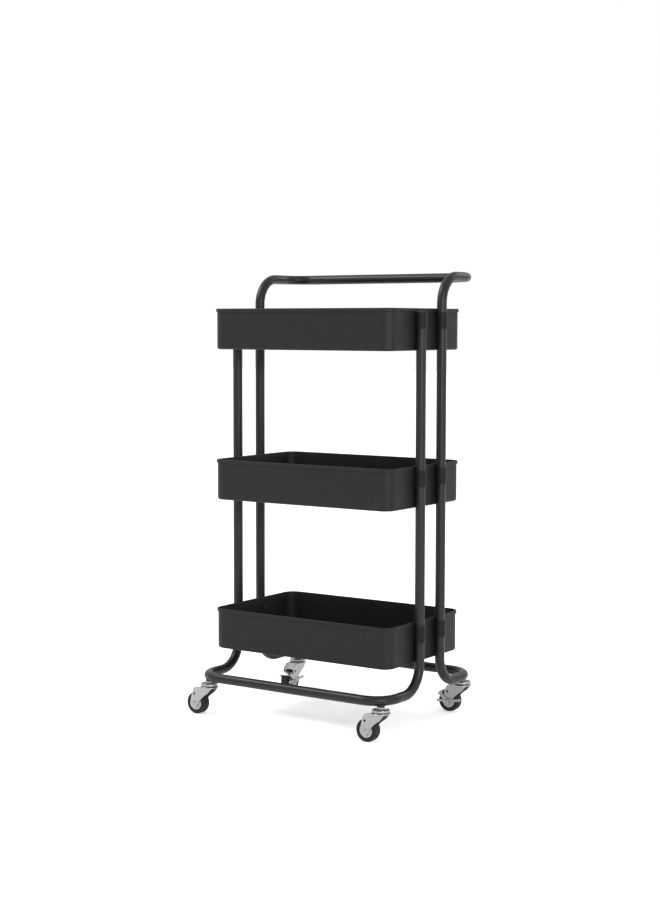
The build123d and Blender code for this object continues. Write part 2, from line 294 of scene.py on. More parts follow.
def tube_mesh(name, path, squeeze):
    """Open tube along a path; squeeze gives how far each point's section is flattened."""
    ahead = [(b - a).normalized() for a, b in zip(path[:-1], path[1:])]
    along = [ahead[0]] + [(a + b).normalized() for a, b in zip(ahead[:-1], ahead[1:])] + [ahead[-1]]
    across = Vector((1, 0, 0)) if abs(along[0].x) < 0.9 else Vector((0, 1, 0))
    frames = []
    for way in along:
        across = (across - way * across.dot(way)).normalized()
        frames.append((across, way.cross(across)))
    turns = whole_turn(tube_sides)

    def surface(radius):
        return [
            [point + radius * (math.cos(t) * one + (1 - flat) * math.sin(t) * two) for t in turns]
            for point, (one, two), flat in zip(path, frames, squeeze)
        ]

    return skin(name, surface(tube_radius) + surface(tube_radius - tube_wall)[::-1], closed=True)


def straight_tube(node):
    """Plain length of tube as long as its CAD node."""
    low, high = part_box(node)
    middle = (low + high) / 2
    heights = [low.z + (high.z - low.z) * i / run_steps for i in range(run_steps + 1)]
    path = [Vector((middle.x, middle.y, z)) for z in heights]
    return tube_mesh(node, path, [0] * len(path))


def bent(points):
    """Flattening through a bend: none where it starts and ends, most in the middle."""
    last = len(points) - 1
    return [bend_flattening * math.sin(math.pi * i / last) for i in range(last + 1)]


def bow_tube(node):
    """Bent tube: leg, bend outward, corner, long run, and the same again on the other side."""
    low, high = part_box(node)
    end_x = high.x - tube_radius
    outward = -1 if abs(low.y) > abs(high.y) else 1
    upward = 1 if low.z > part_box("tray_bottom")[1].z else -1
    run_y = (high.y - tube_radius) if outward > 0 else (low.y + tube_radius)
    leg_y = (low.y + tube_radius) if outward > 0 else (high.y - tube_radius)
    run_z = (high.z - tube_radius) if upward > 0 else (low.z + tube_radius)
    leg_end = low.z if upward > 0 else high.z
    x = Vector((1, 0, 0))
    y = Vector((0, outward, 0))
    z = Vector((0, 0, upward))
    leg_start = Vector((end_x, leg_y, leg_end))
    bend_centre = Vector((end_x, leg_y, run_z)) + bend_radius * (y - z)
    corner_centre = Vector((end_x, run_y, run_z)) - corner_radius * (x + y)
    bend = arc(bend_centre, -y, z, bend_radius)
    corner = arc(corner_centre, x, y, corner_radius)
    leg = [leg_start + (bend[0] - leg_start) * i / leg_steps for i in range(leg_steps)]
    arm = [bend[-1] + (corner[0] - bend[-1]) * i / arm_steps for i in range(1, arm_steps)]
    half_run = corner[-1].x
    run = [Vector((half_run * (1 - i / run_steps), run_y, run_z)) for i in range(1, run_steps)]
    half = leg + bend + arm + corner + run
    flat_half = [0] * len(leg) + bent(bend) + [0] * len(arm) + bent(corner) + [0] * len(run)
    centre = Vector((0, run_y, run_z))
    other = [Vector((-p.x, p.y, p.z)) for p in reversed(half)]
    return tube_mesh(node, half + [centre] + other, flat_half + [0] + flat_half[::-1])


for node in ("base_tube_front", "base_tube_back", "handle_tube"):
    install(f"{node}_finished", bow_tube(node), tube_finish, "tube_powder_coat", "root", node)
for height in ("lower", "upper"):
    for side in ("front", "back"):
        for end in ("left", "right"):
            node = f"upright_{height}_{side}_{end}"
            mesh = straight_tube(node)
            install(f"{node}_finished", mesh, tube_finish, "tube_powder_coat", "root", node)

# ---- Trays ------------------------------------------------------------------
# Each tray is drawn from one sheet of steel, its edge curled outward into a bead, then powder
# coated.  The curl is pressed in where a tube passes it, and the floor has a shallow raised field.

tray_wall = 0.0010
tray_corner = 0.022
tray_foot = 0.004
curl_overhang = 0.0020
curl_height = 0.0065
curl_gap = 0.0004
curl_round = 0.0012
curl_edge = 0.0004
curl_depth = 0.0014
floor_border = 0.014
floor_rise = 0.0009
floor_slope = 0.004
field_inset = 0.050
least_corner = 0.0012
groove_clearance = 0.0003
long_side_steps = 28
short_side_steps = 20
groove_steps = 18
tray_corner_steps = 12
curl_steps = 10
inner_foot_steps = 6
outer_foot_steps = 8
tray_finish = powder_coat("charcoal_powder_coat", (0.0075, 0.0075, 0.0076), 0.46, 0.20)
upright_spots = [
    ((a.x + b.x) / 2, (a.y + b.y) / 2)
    for a, b in (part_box(f"upright_lower_{s}_{e}") for s in ("front", "back") for e in ("left", "right"))
]


def short_side_places(half, tubes_at):
    """Places along a short side of the tray, close together where a tube passes."""
    steps = short_side_steps
    places = [-half + 2 * half * i / steps for i in range(steps + 1)]
    reach = tube_radius + 3 * groove_clearance
    kept = [p for p in places if all(abs(p - spot) > reach for spot in tubes_at)]
    for spot in tubes_at:
        kept += [spot - reach + 2 * reach * i / groove_steps for i in range(groove_steps + 1)]
    return sorted(kept)


def tray_rings(low, high):
    """Rings of points from the middle of the floor, up, over the curl, down and under."""
    half_x = (high.x - low.x) / 2 - curl_overhang
    half_y = (high.y - low.y) / 2 - curl_overhang
    depth = high.z - low.z
    straight_y = half_y - tray_corner
    groove_ys = sorted({round(y, 6) for x, y in upright_spots})
    along_y = [p / straight_y for p in short_side_places(straight_y, groove_ys)]
    along_x = [-1 + 2 * i / long_side_steps for i in range(long_side_steps + 1)]
    corner_turns = quarter_turn(tray_corner_steps)[1:-1]

    def ring(inset, drop):
        radius = max(tray_corner - inset, least_corner)
        sx = half_x - inset - radius
        sy = half_y - inset - radius
        points = [(sx + radius, sy * t) for t in along_y]
        points += [(sx + radius * math.cos(a), sy + radius * math.sin(a)) for a in corner_turns]
        points += [(-sx * t, sy + radius) for t in along_x]
        points += [(-sx - radius * math.sin(a), sy + radius * math.cos(a)) for a in corner_turns]
        points += [(-sx - radius, -sy * t) for t in along_y]
        points += [(-sx - radius * math.cos(a), -sy - radius * math.sin(a)) for a in corner_turns]
        points += [(sx * t, -sy - radius) for t in along_x]
        points += [(sx + radius * math.sin(a), -sy - radius * math.cos(a)) for a in corner_turns]
        return [grooved(x, y, high.z - drop) for x, y in points]

    def grooved(x, y, z):
        for tube_x, tube_y in upright_spots:
            reach = tube_radius + groove_clearance
            if x * tube_x > 0 and abs(y - tube_y) < reach:
                limit = abs(tube_x) - math.sqrt(reach**2 - (y - tube_y) ** 2)
                if abs(x) > limit:
                    x = math.copysign(limit, x)
        return Vector((x, y, z))

    floor_in = depth - tray_wall
    slope_middle = floor_border + floor_slope / 2
    slope_top = floor_border + floor_slope
    profile = [(field_inset, floor_in - floor_rise), (slope_top, floor_in - floor_rise)]
    profile += [(slope_middle, floor_in - floor_rise / 2), (floor_border, floor_in)]
    inner_foot = tray_foot - tray_wall
    for t in quarter_turn(inner_foot_steps):
        away = inner_foot * (1 - math.sin(t))
        profile.append((tray_wall + away, floor_in - inner_foot * (1 - math.cos(t))))
    profile += [(tray_wall, depth * share) for share in (0.75, 0.5, 0.25)]
    half_curl = (tray_wall + curl_overhang) / 2
    curl_middle = tray_wall - half_curl
    for i in range(curl_steps + 1):
        t = math.pi * i / curl_steps
        profile.append((curl_middle + half_curl * math.cos(t), half_curl * (1 - math.sin(t))))
    profile += [(-curl_overhang, curl_height - curl_round)]
    profile += [(-curl_overhang + curl_round / 4, curl_height - curl_round / 3)]
    profile += [(-curl_overhang + curl_round * 3 / 4, curl_height)]
    profile += [(-curl_gap - curl_edge, curl_height), (-curl_gap, curl_height - curl_edge)]
    profile += [(-curl_gap, curl_height - curl_depth), (0, curl_height - curl_depth)]
    profile += [(0, curl_height + tray_wall)]
    profile += [(0, depth * share) for share in (0.3, 0.5, 0.75)]
    for t in quarter_turn(outer_foot_steps):
        profile.append((tray_foot * (1 - math.cos(t)), depth - tray_foot * (1 - math.sin(t))))
    profile += [(floor_border, depth), (slope_middle, depth - floor_rise / 2)]
    profile += [(slope_top, depth - floor_rise), (field_inset, depth - floor_rise)]
    return [ring(inset, drop) for inset, drop in profile]


for level in ("bottom", "middle", "top"):
    node = f"tray_{level}"
    mesh = skin(node, tray_rings(*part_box(node)), smooth_angle=50)
    install(f"{node}_finished", mesh, tray_finish, "charcoal_powder_coat", "root", node)

# ---- Sockets ----------------------------------------------------------------
# Four short sleeves on each tray, cast with a flat foot that sits on the end wall.  The tubes
# meet inside them.  Their edges are softly rounded and their coat is duller than the trays'.

socket_finish = powder_coat("socket_powder_coat", (0.0055, 0.0055, 0.0056), 0.50, 0.15)
socket_skin = 0.0015
socket_foot_half = 0.008
socket_edge = 0.0007
socket_edge_turns = (0, 0.52, 1.05, 1.57)
socket_sides = 96
socket_bore = tube_radius + 0.00005
wall_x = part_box("tray_top")[1].x - curl_overhang


def socket_outline(turn, centre_x):
    """Distance from the tube's axis to the socket's skin, in a direction from outward."""
    reach = abs(centre_x) - wall_x
    round_part = tube_radius + socket_skin
    toward = -math.cos(turn)
    sideways = abs(math.sin(turn))
    if toward <= 0:
        return round_part
    to_wall = reach / toward
    foot_side = socket_foot_half / max(sideways, 1e-6)
    foot = min(to_wall, foot_side) if foot_side > round_part else round_part
    return min(max(foot, round_part), to_wall)


def socket_mesh(name, x, y, low_z, high_z):
    """Sleeve with a foot: bore, rounded lower edge, outside, rounded upper edge."""
    out = 1 if x > 0 else -1
    turns = whole_turn(socket_sides)
    edge = [(1 - math.sin(t), 1 - math.cos(t)) for t in socket_edge_turns]
    stations = [(socket_edge * a, low_z + socket_edge * b) for a, b in edge]
    stations += [(socket_edge * a, high_z - socket_edge * b) for a, b in reversed(edge)]

    def ring(sizes, z):
        return [(x + out * r * math.cos(t), y + r * math.sin(t), z) for r, t in zip(sizes, turns)]

    rings = [ring([socket_outline(t, x) - shrink for t in turns], z) for shrink, z in stations]
    rings += [ring([socket_bore] * socket_sides, z) for z in (high_z, low_z)]
    return skin(name, rings, closed=True)


def join(name, meshes):
    """One mesh out of several."""
    shape = bmesh.new()
    for mesh in meshes:
        shape.from_mesh(mesh)
    joined = bpy.data.meshes.new(name)
    shape.to_mesh(joined)
    shape.free()
    joined.shade_smooth()
    joined.set_sharp_from_angle(angle=math.radians(35))
    return joined


for level in ("bottom", "middle", "top"):
    node = f"sockets_{level}"
    low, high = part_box(node)
    sleeves = [socket_mesh(node, x, y, low.z, high.z) for x, y in upright_spots]
    mesh = join(node, sleeves)
    install(f"{node}_finished", mesh, socket_finish, "charcoal_powder_coat", "root", node)

# ---- Plugs, connectors and screws -------------------------------------------
# Moulded black plugs close the two front uprights and plain inserts join the tube ends inside
# the sockets.  A black pan-head screw from inside the tray goes through wall, tube and insert.


def round_rings(profile, sides):
    """Level circles about Z from radius and height pairs."""
    turns = whole_turn(sides)
    return [[(r * math.cos(t), r * math.sin(t), z) for t in turns] for r, z in profile]


def turned(name, profile, sides=64):
    """Mesh turned about Z from a profile that starts and ends beside the axis."""
    return skin(name, round_rings(profile, sides))


plastic_finish, at = start_finish("black_plastic")
grain = noise(at, 0.0009, 2.0)
cloud = noise(at, 0.01)
close_finish(
    at,
    Base_Color=blend_colours(cloud, (0.009, 0.009, 0.0095), (0.014, 0.014, 0.0145)),
    Roughness=0.5 + 0.12 * cloud,
    Specular_IOR_Level=0.2,
    Normal=bump(grain, 0.0002, 0.25),
)

plug_cap_height = 0.0015
plug_chamfer = 0.0012
flat_on_axis = 0.0005
plug_radius = tube_radius - tube_wall - 0.00005
plug_low, plug_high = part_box("front_end_plugs")
plug_profile = [
    (flat_on_axis, plug_high.z),
    (0.0050, plug_high.z - 0.00012),
    (0.0075, plug_high.z - 0.00045),
    (0.0086, plug_high.z - 0.0009),
    (tube_radius, plug_high.z - 0.00135),
    (tube_radius, plug_high.z - plug_cap_height),
    (plug_radius, plug_high.z - plug_cap_height),
    (plug_radius, plug_low.z + plug_chamfer),
    (tube_radius - tube_wall - plug_chamfer, plug_low.z),
    (flat_on_axis, plug_low.z),
]
caps = []
for x, y in upright_spots:
    if y < 0:
        cap = turned("front_end_plugs", plug_profile)
        cap.transform(Matrix.Translation((x, y, 0)))
        caps.append(cap)
mesh = join("front_end_plugs", caps)
install("front_end_plugs_finished", mesh, plastic_finish, "black_plastic", "root", "front_end_plugs")


def paint_node(node, finish):
    """Gives a CAD node that stays its finish."""
    mesh = frame["nodes"][node].data
    mesh.materials.clear()
    mesh.materials.append(finish)


for node in ("tube_connectors_bottom", "tube_connectors_middle", "handle_connectors"):
    paint_node(node, plastic_finish)

screw_finish, at = start_finish("black_screw")
cloud = noise(at, 0.002)
close_finish(
    at,
    Base_Color=blend_colours(cloud, (0.022, 0.022, 0.023), (0.04, 0.04, 0.042)),
    Metallic=0.6,
    Roughness=0.35 + 0.15 * cloud,
    Normal=bump(noise(at, 0.0005), 0.0001, 0.2),
)
for level in ("bottom", "middle", "top"):
    paint_node(f"tray_screws_{level}", screw_finish)

# ---- Caster bosses and stems ------------------------------------------------
# A threaded boss is welded under each corner of the base tubes.  The caster's stem screws into
# it by its hexagon, and its lower end is riveted over under the fork.

casters = {}
for side in ("front", "back"):
    for end in ("left", "right"):
        corner = f"caster_{side}_{end}"
        turn = next(j for j in frame["joints"] if j["name"] == f"{corner}_swivel_turn")
        spin = next(j for j in frame["joints"] if j["name"] == f"{corner}_wheel_spin")
        stem_at = Vector(turn["pos_m"])
        axle_at = Vector(spin["pos_m"])
        back = Vector((stem_at.x - axle_at.x, stem_at.y - axle_at.y, 0))
        heading = math.atan2(back.y, back.x)
        casters[corner] = Matrix.Translation((stem_at.x, stem_at.y, 0)) @ Matrix.Rotation(heading, 4, "Z")
# The trail and the axle's height are the same for all four.
trail = back.length
axle_z = axle_at.z

boss_radius = 0.0065
boss_sides = 72
boss_bore = 0.0041
boss_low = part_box("caster_weld_bosses")[0].z
tube_middle_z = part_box("base_tube_front")[0].z + tube_radius
weld_reach = 0.0017
weld_bead = ((1.0, -0.0004), (0.75, 0.0001), (0.45, 0.0006), (0.2, 0.0009), (0, 0.0011))
weld_squeeze = 0.85  # how much narrower the bead is at the tube's sides
boss_edge = 0.0003
bore_top = tube_middle_z - 0.006


def boss_mesh(x, y):
    """Boss with a weld bead round its root that follows the tube it sits under."""
    lean = Vector((math.copysign(1, x), math.copysign(1, y))).normalized()
    turns = whole_turn(boss_sides)
    rings = []
    for share, sunk in weld_bead:
        reach = weld_reach * share
        ring = []
        for t in turns:
            way = Vector((math.cos(t), math.sin(t)))
            away = (boss_radius + reach * (1 - weld_squeeze * way.dot(lean) ** 2)) * way
            under = tube_middle_z - math.sqrt(tube_radius**2 - away.dot(lean) ** 2)
            ring.append((x + away.x, y + away.y, max(under - sunk, boss_low + 2 * boss_edge)))
        rings.append(ring)
    outside = [(boss_radius, boss_low + boss_edge), (boss_radius - boss_edge, boss_low)]
    bore = [(boss_bore, boss_low), (boss_bore, bore_top)]
    for radius, z in outside + bore:
        rings.append([(x + radius * math.cos(t), y + radius * math.sin(t), z) for t in turns])
    return skin("caster_weld_bosses", rings, closed=True)


bosses = []
for place in casters.values():
    bosses.append(boss_mesh(place.translation.x, place.translation.y))
mesh = join("caster_weld_bosses", bosses)
install("caster_weld_bosses_finished", mesh, tube_finish, "tube_powder_coat", "root", "caster_weld_bosses")


def zinc(name, base_rough, tone):
    """Bright zinc plate over pressed steel: soft grey with cloudy sheen and fine draw lines."""
    along_strip = (0.12, 1.0, 1.0)
    finish, at = start_finish(name)
    cloud = noise(at, 0.006, 3.0)
    stretched = at.node("ShaderNodeVectorMath", {"operation": "MULTIPLY"}, {0: at, 1: along_strip})
    lines = noise(stretched, 0.0005, 2.0)
    dull = patches(noise(at, 0.005, 4.0), 0.45, 0.3)
    grey = tuple(tone * c for c in (0.97, 0.98, 1.0))
    pale = tuple(1.15 * c for c in grey)
    worn = tuple(0.80 * c for c in grey)
    close_finish(
        at,
        Base_Color=blend_colours(0.5 * dull, blend_colours(cloud, grey, pale), worn),
        Metallic=0.92,
        Roughness=base_rough + 0.12 * cloud + 0.06 * dull + 0.05 * lines,
        Normal=bump(lines, 0.0001, 0.15, bump(cloud, 0.0003, 0.12)),
    )
    return finish


zinc_finish = zinc("zinc_plate", 0.22, 0.295)
fork_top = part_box("caster_front_right_fork")[1].z
race_low, race_high = (corner.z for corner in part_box("caster_front_right_race_plate"))
stem_low, stem_high = (corner.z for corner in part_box("caster_front_right_stem"))
hexagon_half = 0.0065
hexagon_corner = 0.0076
hexagon_chamfer = 0.0006
hexagon_low = boss_low - 0.006
stem_radius = 0.004
stem_chamfer = 0.0008
stem_sides = 72
rivet_radius = 0.0065
rivet_height = 0.002
point_on_axis = 0.0004


def hexagon_rings(low, high):
    """Hexagon whose corners are turned down at both ends."""
    cut_corner = hexagon_corner - 0.001
    rings = []
    for z, clip in (
        (low, cut_corner),
        (low + hexagon_chamfer, hexagon_corner),
        (high - hexagon_chamfer, hexagon_corner),
        (high, cut_corner),
    ):
        ring = []
        for t in whole_turn(stem_sides):
            flat = hexagon_half / math.cos((t % math.radians(60)) - math.radians(30))
            r = min(flat, clip)
            ring.append((r * math.cos(t), r * math.sin(t), z))
        rings.append(ring)
    return rings


rivet_profile = [
    (point_on_axis, stem_low),
    (0.0045, stem_low + 0.0002),
    (rivet_radius - 0.0006, stem_low + 0.0009),
    (rivet_radius, stem_low + 0.0016),
    (rivet_radius, stem_low + rivet_height),
    (stem_radius, stem_low + rivet_height),
    (stem_radius, hexagon_low),
]
thread_profile = [
    (stem_radius, boss_low),
    (stem_radius, stem_high - stem_chamfer),
    (stem_radius - stem_chamfer, stem_high),
    (point_on_axis, stem_high),
]
stem_rings = round_rings(rivet_profile, stem_sides)
stem_rings += hexagon_rings(hexagon_low, boss_low)
stem_rings += round_rings(thread_profile, stem_sides)
stem_mesh = skin("caster_stem", stem_rings, smooth_angle=30)


def fit(corner, part, mesh, finish, slot, body):
    """Puts one part of a caster at its corner, in place of its CAD node."""
    node = f"{corner}_{part}"
    install(f"{node}_finished", mesh, finish, slot, body, node, place=casters[corner])


for corner in casters:
    fit(corner, "stem", stem_mesh, zinc_finish, "zinc_plate", "root")

# ---- Ball races -------------------------------------------------------------
# The upper race is a small dished plate, plated bright, with a turned-over edge.  The ring of
# balls under it runs in a groove, and the fork hangs from them.

ball_ring = 0.0105
groove_radius = 0.00155
groove_turns = 8
race_radius = 0.016
race_sides = 72
ball_z = (fork_top + race_low) / 2


def groove(z_face, upward):
    """Profile of the ball groove in a flat face, from inside to outside."""
    lift = abs(z_face - ball_z)
    reach = math.acos(lift / groove_radius)
    turns = [-reach + 2 * reach * i / groove_turns for i in range(groove_turns + 1)]
    way = groove_radius if upward else -groove_radius
    return [(ball_ring + groove_radius * math.sin(t), ball_z + way * math.cos(t)) for t in turns]


race_profile = [
    (stem_radius + 0.0001, race_low),
    *groove(race_low, True),
    (race_radius - 0.0008, race_low),
    (race_radius - 0.0001, race_low + 0.0004),
    (race_radius, race_low + 0.0010),
    (race_radius, race_high - 0.0007),
    (race_radius - 0.0002, race_high - 0.0002),
    (race_radius - 0.0007, race_high),
    (race_radius - 0.0013, race_high - 0.0001),
    (race_radius - 0.0016, race_high - 0.0005),
    (race_radius - 0.0017, hexagon_low + 0.0004),
    (race_radius - 0.0022, hexagon_low),
    (0.0110, hexagon_low - 0.0001),
    (0.0098, hexagon_low),
    (stem_radius + 0.0001, hexagon_low),
]
race_mesh = skin("caster_race_plate", round_rings(race_profile, race_sides), closed=True)
for corner in casters:
    fit(corner, "race_plate", race_mesh, zinc_finish, "zinc_plate", "root")

ball_finish, at = start_finish("bearing_steel")
smear = noise(at, 0.001)
close_finish(
    at,
    Base_Color=blend_colours(smear, (0.6, 0.6, 0.62), (0.7, 0.7, 0.72)),
    Metallic=1.0,
    Roughness=0.12 + 0.1 * smear,
)
for corner in casters:
    paint_node(f"{corner}_balls", ball_finish)

# ---- Forks ------------------------------------------------------------------
# Pressed from steel strip and zinc plated: a round top with a turned-down edge that carries the
# balls, and two slanting cheeks with an eye for the axle and a round hole above it.

fork_sheet = 0.0018
cheek_out = 0.0124
cheek_bend = 0.0034
eye_radius = 0.0100
shoulder_radius = 0.0100
shoulder_drop = 0.0020
nose_radius = 0.0020
fork_back = 0.0310
fork_front = 0.0125
front_hollow = 0.0030
front_hollow_radius = 0.0600
roof_reach = 0.0140
disc_radius = 0.0170
disc_lip = 0.0026
cheek_hole = 0.0023
cheek_hole_rise = 0.0185
fork_edge = 0.00035
axle_radius = 0.0025
cheek_bend_steps = 6
strip_ends = (-0.07, 0.05)
behind_strip = -0.08
half_span = 2 * cheek_out
under_roof = 0.045
over_roof = 0.060


def extruded(name, outline, low, high):
    """Solid between low and high along Y from an outline in X and Z."""
    return skin(name, [[(x, y, z) for x, z in outline] for y in (low, high)])


def box_mesh(name, low, high):
    """Plain block between two corners, for joining to a larger shape."""
    (x0, y0, z0), (x1, y1, z1) = low, high
    rings = [[(x0, y0, z), (x1, y0, z), (x1, y1, z), (x0, y1, z)] for z in (z0, z1)]
    return skin(name, rings)


def circle_points(x, z, radius, count=40):
    """Circle as X and Z pairs."""
    return [(x + radius * math.cos(t), z + radius * math.sin(t)) for t in whole_turn(count)]


def combine(name, base, steps, edge):
    """Boolean steps on a base mesh, then a small round on every sharp edge."""
    helpers = []
    body = bpy.data.objects.new(name, base)
    scene.collection.objects.link(body)
    for operation, mesh in steps:
        tool = bpy.data.objects.new(name, mesh)
        scene.collection.objects.link(tool)
        helpers.append(tool)
        cut = body.modifiers.new(operation, "BOOLEAN")
        cut.operation = operation
        cut.object = tool
        cut.solver = "EXACT"
    weld = body.modifiers.new("weld", "WELD")
    weld.merge_threshold = 0.00001
    soften = body.modifiers.new("soften", "BEVEL")
    soften.width = edge
    soften.segments = 2
    soften.limit_method = "ANGLE"
    soften.angle_limit = math.radians(35)
    level = body.modifiers.new("level", "WEIGHTED_NORMAL")
    level.keep_sharp = True
    seen = body.evaluated_get(bpy.context.evaluated_depsgraph_get())
    result = bpy.data.meshes.new_from_object(seen)
    result.name = name
    for used in helpers + [body]:
        bpy.data.objects.remove(used)
    return result


def channel(name):
    """Long inverted U with rounded bends, as the strip comes from the press."""
    half_roof = cheek_out - cheek_bend
    bend_z = fork_top - cheek_bend

    def over(radius):
        turns = quarter_turn(cheek_bend_steps)
        bend = [(half_roof + radius * math.cos(t), bend_z + radius * math.sin(t)) for t in turns]
        return bend + [(-y, z) for y, z in reversed(bend)]

    outer = [(cheek_out, 0.0)] + over(cheek_bend) + [(-cheek_out, 0.0)]
    inner = [(fork_sheet - cheek_out, 0.0)] + over(cheek_bend - fork_sheet)[::-1]
    inner += [(cheek_out - fork_sheet, 0.0)]
    return skin(name, [[(x, y, z) for y, z in outer + inner] for x in strip_ends])


outline = circle_points(-trail, axle_z, eye_radius, 72)
shoulder_z = fork_top - shoulder_drop - shoulder_radius
outline += circle_points(shoulder_radius - fork_back, shoulder_z, shoulder_radius)
outline += circle_points(fork_front - nose_radius, fork_top - nose_radius, nose_radius)
cheek_outline = [outline[i] for i in convex_hull_2d([Vector(p) for p in outline])]
eye_middle = Vector((-trail, axle_z))
nose_middle = Vector((fork_front - nose_radius, fork_top - nose_radius))
along = (nose_middle - eye_middle).normalized()
outward = Vector((along.y, -along.x))
edge_middle = (eye_middle + nose_middle) / 2 + outward * (eye_radius + nose_radius) / 2
hollow_middle = edge_middle + outward * (front_hollow_radius - front_hollow)
disc_profile = [
    (flat_on_axis, fork_top),
    (ball_ring - 0.0016, fork_top),
    *groove(fork_top, False),
    (ball_ring + 0.0017, fork_top),
    (disc_radius - 0.0016, fork_top),
    (disc_radius - 0.0007, fork_top - 0.0003),
    (disc_radius - 0.0001, fork_top - 0.0010),
    (disc_radius, fork_top - 0.0018),
    (disc_radius, fork_top - disc_lip),
    (disc_radius - 0.0014, fork_top - disc_lip),
    (disc_radius - 0.0018, fork_top - fork_sheet),
    (flat_on_axis, fork_top - fork_sheet),
]
front_circle = circle_points(*hollow_middle, front_hollow_radius, 240)
roof_low = (behind_strip, fork_sheet - cheek_out, under_roof)
roof_high = (-roof_reach, cheek_out - fork_sheet, over_roof)
bore_profile = [(boss_bore, under_roof), (boss_bore, over_roof)]
axle_circle = circle_points(-trail, axle_z, axle_radius)
cheek_circle = circle_points(-trail, axle_z + cheek_hole_rise, cheek_hole, 32)
fork_steps = [
    ("INTERSECT", extruded("fork_side", cheek_outline, -half_span, half_span)),
    ("DIFFERENCE", extruded("front_hollow", front_circle, -half_span, half_span)),
    ("DIFFERENCE", box_mesh("roof_cut", roof_low, roof_high)),
    ("UNION", turned("fork_disc", disc_profile, 72)),
    ("DIFFERENCE", turned("stem_bore", bore_profile, 40)),
    ("DIFFERENCE", extruded("axle_bore", axle_circle, -half_span, half_span)),
    ("DIFFERENCE", extruded("cheek_bore", cheek_circle, -half_span, half_span)),
]
fork_mesh = combine("caster_fork", channel("fork_channel"), fork_steps, fork_edge)
for corner in casters:
    fit(corner, "fork", fork_mesh, zinc_finish, "zinc_plate", f"{corner}_swivel")

# ---- Axles ------------------------------------------------------------------
# A plain steel rivet through both cheeks and the wheel, longer on the back casters, where it also
# carries the brake lever.  Its heads are domed, with the dimple that the riveting tool leaves.

axle_head = 0.0045
axle_head_rise = 0.0014
axle_sides = 48
axle_place = Matrix.Translation((-trail, 0, axle_z))
along_axle = axle_place @ Matrix.Rotation(math.radians(90), 4, "X")


def mirrored(profile):
    """Profile and its mirror image across the middle of the wheel."""
    return profile + [(r, -z) for r, z in reversed(profile)]


def axle_mesh(node):
    """Rivet along Y at the wheel's centre, as long as its CAD node."""
    low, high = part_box(node)
    half = max(high.x - low.x, high.y - low.y) / 2
    end = [
        (point_on_axis, half - 0.0005),
        (0.0010, half - 0.00045),
        (0.0016, half - 0.00005),
        (0.0026, half - 0.0001),
        (0.0038, half - 0.0005),
        (axle_head, half - 0.0010),
        (axle_head, half - axle_head_rise),
        (axle_radius, half - axle_head_rise),
    ]
    mesh = turned(node, mirrored(end), axle_sides)
    mesh.transform(along_axle)
    return mesh


for corner in casters:
    mesh = axle_mesh(f"{corner}_axle")
    fit(corner, "axle", mesh, zinc_finish, "zinc_plate", f"{corner}_swivel")

# ---- Wheels -----------------------------------------------------------------
# A grey moulded wheel centre with a raised rim and a long boss, and a solid rubber tyre pressed
# over it.  The tyre's face is slightly crowned and has a fine mould line round the middle.

wheel_radius = axle_z
wheel_sides = 96
tyre_low, tyre_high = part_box("caster_front_right_tyre")
tyre_half = (tyre_high.y - tyre_low.y) / 2
tyre_thickness = 0.008
tyre_edge = 0.0030
tyre_edge_steps = 8
hub_radius = wheel_radius - tyre_thickness
hub_half = 0.0085
boss_half = 0.0103

hub_finish, at = start_finish("grey_hub_plastic")
cloud = noise(at, 0.005)
close_finish(
    at,
    Base_Color=blend_colours(cloud, (0.38, 0.38, 0.38), (0.46, 0.46, 0.46)),
    Roughness=0.32 + 0.14 * cloud,
    Normal=bump(noise(at, 0.0006), 0.0001, 0.2),
)

rubber_finish, at = start_finish("black_rubber")
cloud = noise(at, 0.004, 3.0)
grain = noise(at, 0.0008, 2.0)
dust = patches(noise(at, 0.007, 4.0))
black = blend_colours(cloud, (0.005, 0.005, 0.005), (0.009, 0.009, 0.009))
close_finish(
    at,
    Base_Color=blend_colours(0.35 * dust, black, (0.030, 0.029, 0.028)),
    Roughness=0.55 + 0.2 * cloud,
    Specular_IOR_Level=0.25,
    Normal=bump(grain, 0.0003, 0.25),
)

hub_side = [
    (axle_radius + 0.00006, boss_half - 0.0003),
    (axle_radius + 0.0004, boss_half),
    (0.0050, boss_half),
    (0.0055, boss_half - 0.0005),
    (0.0058, hub_half - 0.0007),
    (0.0064, hub_half - 0.0010),
    (0.0104, hub_half - 0.0010),
    (0.0110, hub_half - 0.0006),
    (0.0112, hub_half - 0.0001),
    (0.0116, hub_half),
    (hub_radius - 0.0004, hub_half),
    (hub_radius, hub_half - 0.0004),
]
tyre_side = [
    (hub_radius + 0.00005, tyre_half - 0.0008),
    (hub_radius + 0.0008, tyre_half - 0.0001),
    (hub_radius + 0.0018, tyre_half),
    (hub_radius + 0.0022, tyre_half - 0.00025),
    (hub_radius + 0.0026, tyre_half),
    (wheel_radius - tyre_edge, tyre_half),
]
edge_r = wheel_radius - tyre_edge
edge_z = tyre_half - tyre_edge
for t in quarter_turn(tyre_edge_steps)[1:-1]:
    tyre_side.append((edge_r + tyre_edge * math.sin(t), edge_z + tyre_edge * math.cos(t)))
tyre_side += [(wheel_radius - 0.00005, tyre_half - 0.0032), (wheel_radius - 0.00001, 0.0012)]
tyre_side += [(wheel_radius - 0.00002, 0.0004), (wheel_radius, 0.0001)]


def wheel_mesh(name, side):
    """Ring about the axle from half a section."""
    mesh = skin(name, round_rings(mirrored(side), wheel_sides), closed=True)
    mesh.transform(along_axle)
    return mesh


hub_mesh = wheel_mesh("wheel_hub", hub_side)
tyre_mesh = wheel_mesh("tyre", tyre_side)
for corner in casters:
    fit(corner, "wheel_hub", hub_mesh, hub_finish, "grey_hub_plastic", f"{corner}_wheel")
    fit(corner, "tyre", tyre_mesh, rubber_finish, "black_rubber", f"{corner}_wheel")

